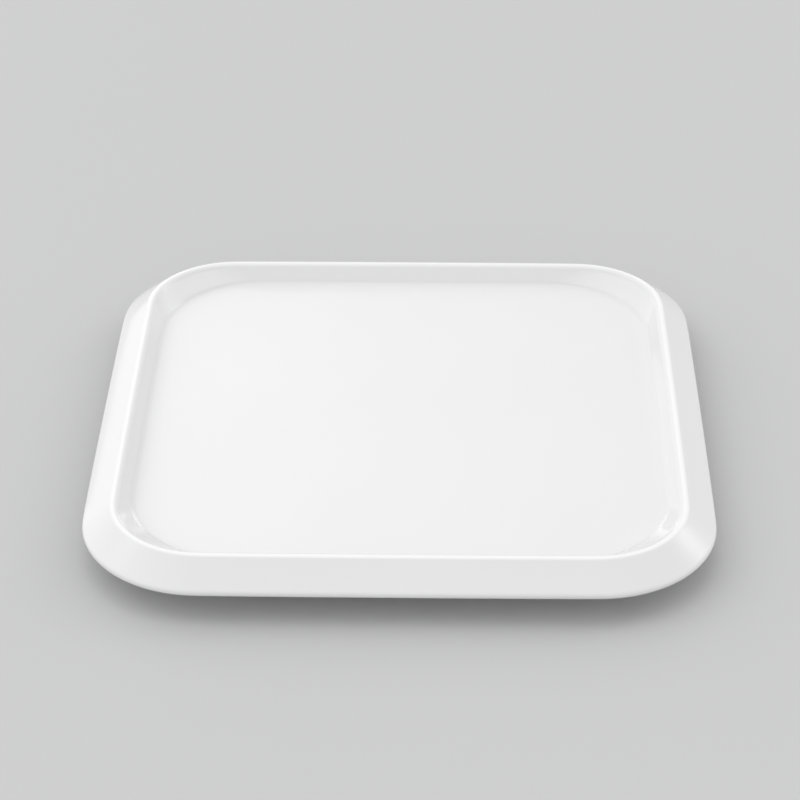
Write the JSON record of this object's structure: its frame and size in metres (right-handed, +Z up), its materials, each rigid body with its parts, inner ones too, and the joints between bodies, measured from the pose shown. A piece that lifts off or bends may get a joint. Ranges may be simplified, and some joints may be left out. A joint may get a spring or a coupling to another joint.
{
  "type": "square serving platter",
  "caption": "Square glazed porcelain serving platter with round corners, a flat sunken well, a raised crest and a turned-down skirt, held off the table by an inset foot ring.",
  "frame": {"origin": "on the table, under the middle of the platter, level with the foot ring's bearing face", "axes": "+Z up out of the well; X and Y along the straight sides of the square"},
  "size_m": [0.3, 0.3, 0.0274],
  "materials": {
    "bisque": "matte",
    "bare_foot": "matte",
    "glaze": "polished"
  },
  "bodies": {
    "root": {"porcelain_body": "bisque", "foot_ring": "bare_foot", "outer_glaze": "glaze", "base_glaze": "glaze"}
  },
  "joints": []
}
